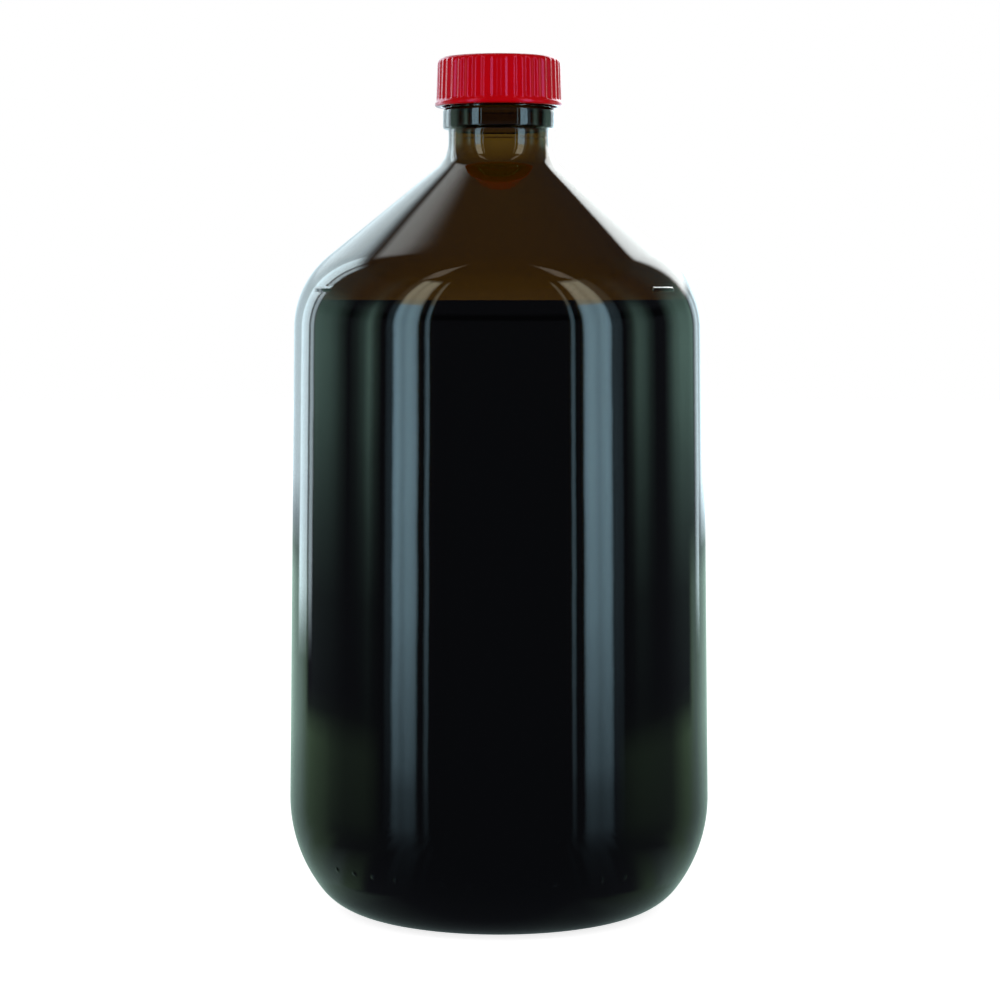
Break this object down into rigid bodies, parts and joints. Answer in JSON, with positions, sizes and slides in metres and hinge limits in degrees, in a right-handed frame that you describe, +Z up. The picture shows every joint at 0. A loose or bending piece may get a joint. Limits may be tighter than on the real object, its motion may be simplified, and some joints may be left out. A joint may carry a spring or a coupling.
{
  "type": "narrow mouth bottle",
  "caption": "Amber glass bottle with a conical shoulder and narrow threaded neck, dark filling, and a ribbed red screw cap over a sealing disc.",
  "frame": {"origin": "middle of the flat bearing ring the bottle stands on", "axes": "+Z up along the bottle's axis; -Y towards the side that shows both fill marks"},
  "size_m": [0.139, 0.139, 0.2813],
  "materials": {
    "amber_glass": "smooth, clear amber brown",
    "red_plastic": "moulded, slightly glossy",
    "white_liner": "soft, matt",
    "dark_filling": "still liquid, nearly black through the amber glass"
  },
  "bodies": {
    "bottle": {"bottle": "amber_glass", "liquid": "dark_filling"},
    "seal": {"liner": "white_liner"},
    "cap": {"cap": "red_plastic"}
  },
  "joints": [
    {"name": "cap_lift", "type": "slide", "parent": "bottle", "child": "seal", "axis": [0, 0, 1], "range_m": [0, 0.034]},
    {"name": "cap_turn", "type": "hinge", "parent": "seal", "child": "cap", "pos_m": [0, 0, 0.2797], "axis": [0, 0, 1], "range_deg": [0, 2880]}
  ],
  "couplings": [
    {"joint": "cap_lift", "follows": "cap_turn", "m_per_rad": 0.0006737}
  ]
}
